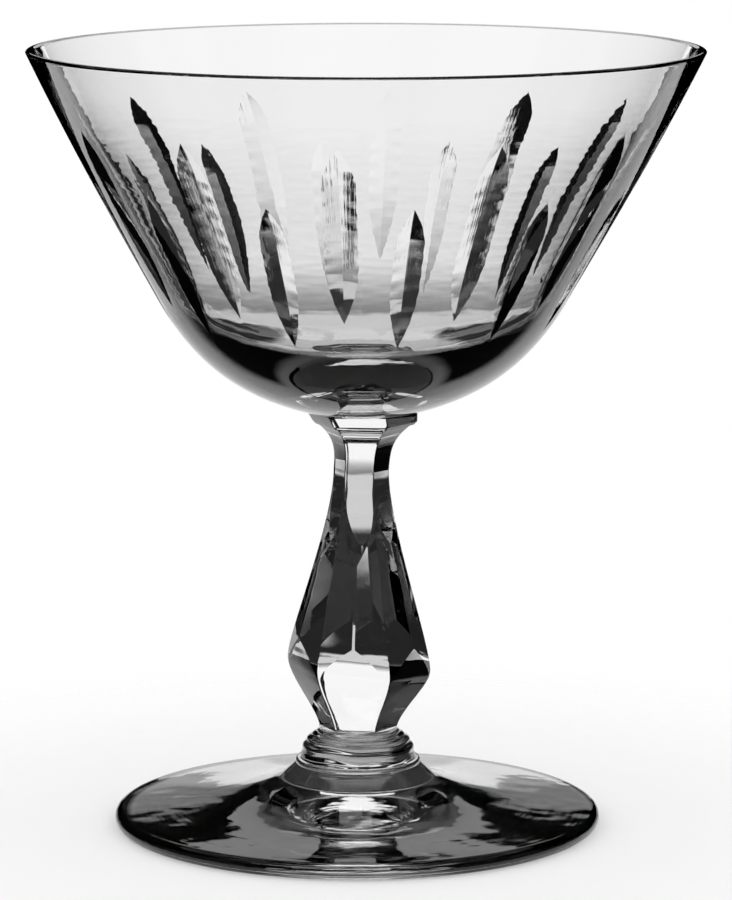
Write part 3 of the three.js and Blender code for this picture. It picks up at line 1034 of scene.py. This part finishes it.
def under_foot(wire, reach, turn):
    wedge = fading(wire, turn, WEDGE_TURN)
    flanks = fading(wire, turn, FLANK_TURN) * (1 - wedge)
    off_gap = 1 - fading(wire, reach, GAP_END) + fading(wire, reach, GAP_START)
    # painted highlights for the bright marks on the hub and on the slope in front of it
    patches = fading(wire, turn, HIGHLIGHT_PATCH_TURN) * off_gap
    wedge_darkness = FOOT_DARKNESS + WEDGE_DARKNESS * wedge
    return wedge_darkness - FLANK_PALENESS * flanks - HIGHLIGHT_PATCH_PALENESS * patches


# %% [markdown]
# ## Pale strip and table
# The backdrop sweeps down on to the table straight behind the glass, so the table is paler there. The
# strip widens outwards and grows paler in two steps, and one part of it near the foot is paler by itself.
# Where patches overlap the darker one counts, and the strip then thins what lies under it.

# %% Pale strip and table
STRIP_TURN = (3.5, 6)
STRIP_WIDENING = 12
WIDENING_REACH = (0.14, 0.24)
NEAR_PALENESS = 0.65
NEAR_START = (0.066, 0.084)
NEAR_END = (0.25, 0.3)
FIRST_STEP_PALENESS = 0.12
FIRST_STEP_REACH = (0.1, 0.16)
SECOND_STEP_PALENESS = 0.64
SECOND_STEP_REACH = (0.16, 0.6)
FOOT_EDGE = (0.034, 0.036)
TABLE_RADIUS = 1.2
TABLE_DROP = 0.00002
DARK_GREY = 0.02


def pale_strip(wire, reach, turn):
    widening = STRIP_WIDENING * (1 - fading(wire, reach, WIDENING_REACH))
    straight_back = fading(wire, turn - widening, STRIP_TURN)
    near = NEAR_PALENESS * (1 - fading(wire, reach, NEAR_START)) * fading(wire, reach, NEAR_END)
    first_step = FIRST_STEP_PALENESS * (1 - fading(wire, reach, FIRST_STEP_REACH))
    second_step = SECOND_STEP_PALENESS * (1 - fading(wire, reach, SECOND_STEP_REACH))
    return straight_back * larger(near, first_step + second_step)


def table_cover(wire):
    reach, turn = polar_place(wire)
    foot_share = fading(wire, reach, FOOT_EDGE)
    round_foot = larger(behind_glass(wire, reach, turn), beside_glass(wire, reach, turn))
    dark = larger((1 - foot_share) * round_foot, foot_share * under_foot(wire, reach, turn))
    return dark * (1 - pale_strip(wire, reach, turn))


card_disc("dark_table", TABLE_RADIUS, -TABLE_DROP, DARK_GREY, table_cover).visible_glossy = False

# %% [markdown]
# ## Front table
# The foot's slope and the bowl's underside mirror the table in front of them, which is dark as well. This
# second disc shows only to mirrored light. It lies a hair lower than the first, because two surfaces at
# one height that the same ray can see would hide each other by chance.

# %% Front table
FRONT_TABLE_DROP = 0.000035
FRONT_TURN = (45, 60)
FRONT_START = (0.04, 0.05)
FRONT_END = (0.4, 0.9)


def front_cover(wire):
    reach, turn = polar_place(wire)
    in_front = 1 - fading(wire, turn, FRONT_TURN)
    along = (1 - fading(wire, reach, FRONT_START)) * fading(wire, reach, FRONT_END)
    return only_mirrored(wire) * in_front * along


card_disc("front_table", TABLE_RADIUS, -FRONT_TABLE_DROP, DARK_GREY, front_cover)

# %% [markdown]
# ## Camera
# A long lens, which keeps the verticals calm, at the height that makes the rim's ellipse as open as in the
# photograph. Distance, height and pitch come from fitting the ellipses of rim and foot.

# %% Camera
CAMERA_DISTANCE = 0.705
CAMERA_HEIGHT = 0.175
CAMERA_SIDE = 0.00067
CAMERA_PITCH = 9.47
CAMERA_LENS = 189.56
SENSOR_WIDTH = 36

camera_data = bpy.data.cameras.new("camera")
camera_data.lens = CAMERA_LENS
camera_data.sensor_width = SENSOR_WIDTH
camera = bpy.data.objects.new("camera", camera_data)
camera.location = (CAMERA_SIDE, -CAMERA_DISTANCE, CAMERA_HEIGHT)
camera.rotation_euler = (math.radians(UPRIGHT - CAMERA_PITCH), 0, 0)
bpy.context.collection.objects.link(camera)
bpy.context.scene.camera = camera
bpy.context.scene.view_settings.view_transform = "Standard"
print("camera:", CAMERA_LENS, "mm lens,", CAMERA_DISTANCE, "m in front of the axis")
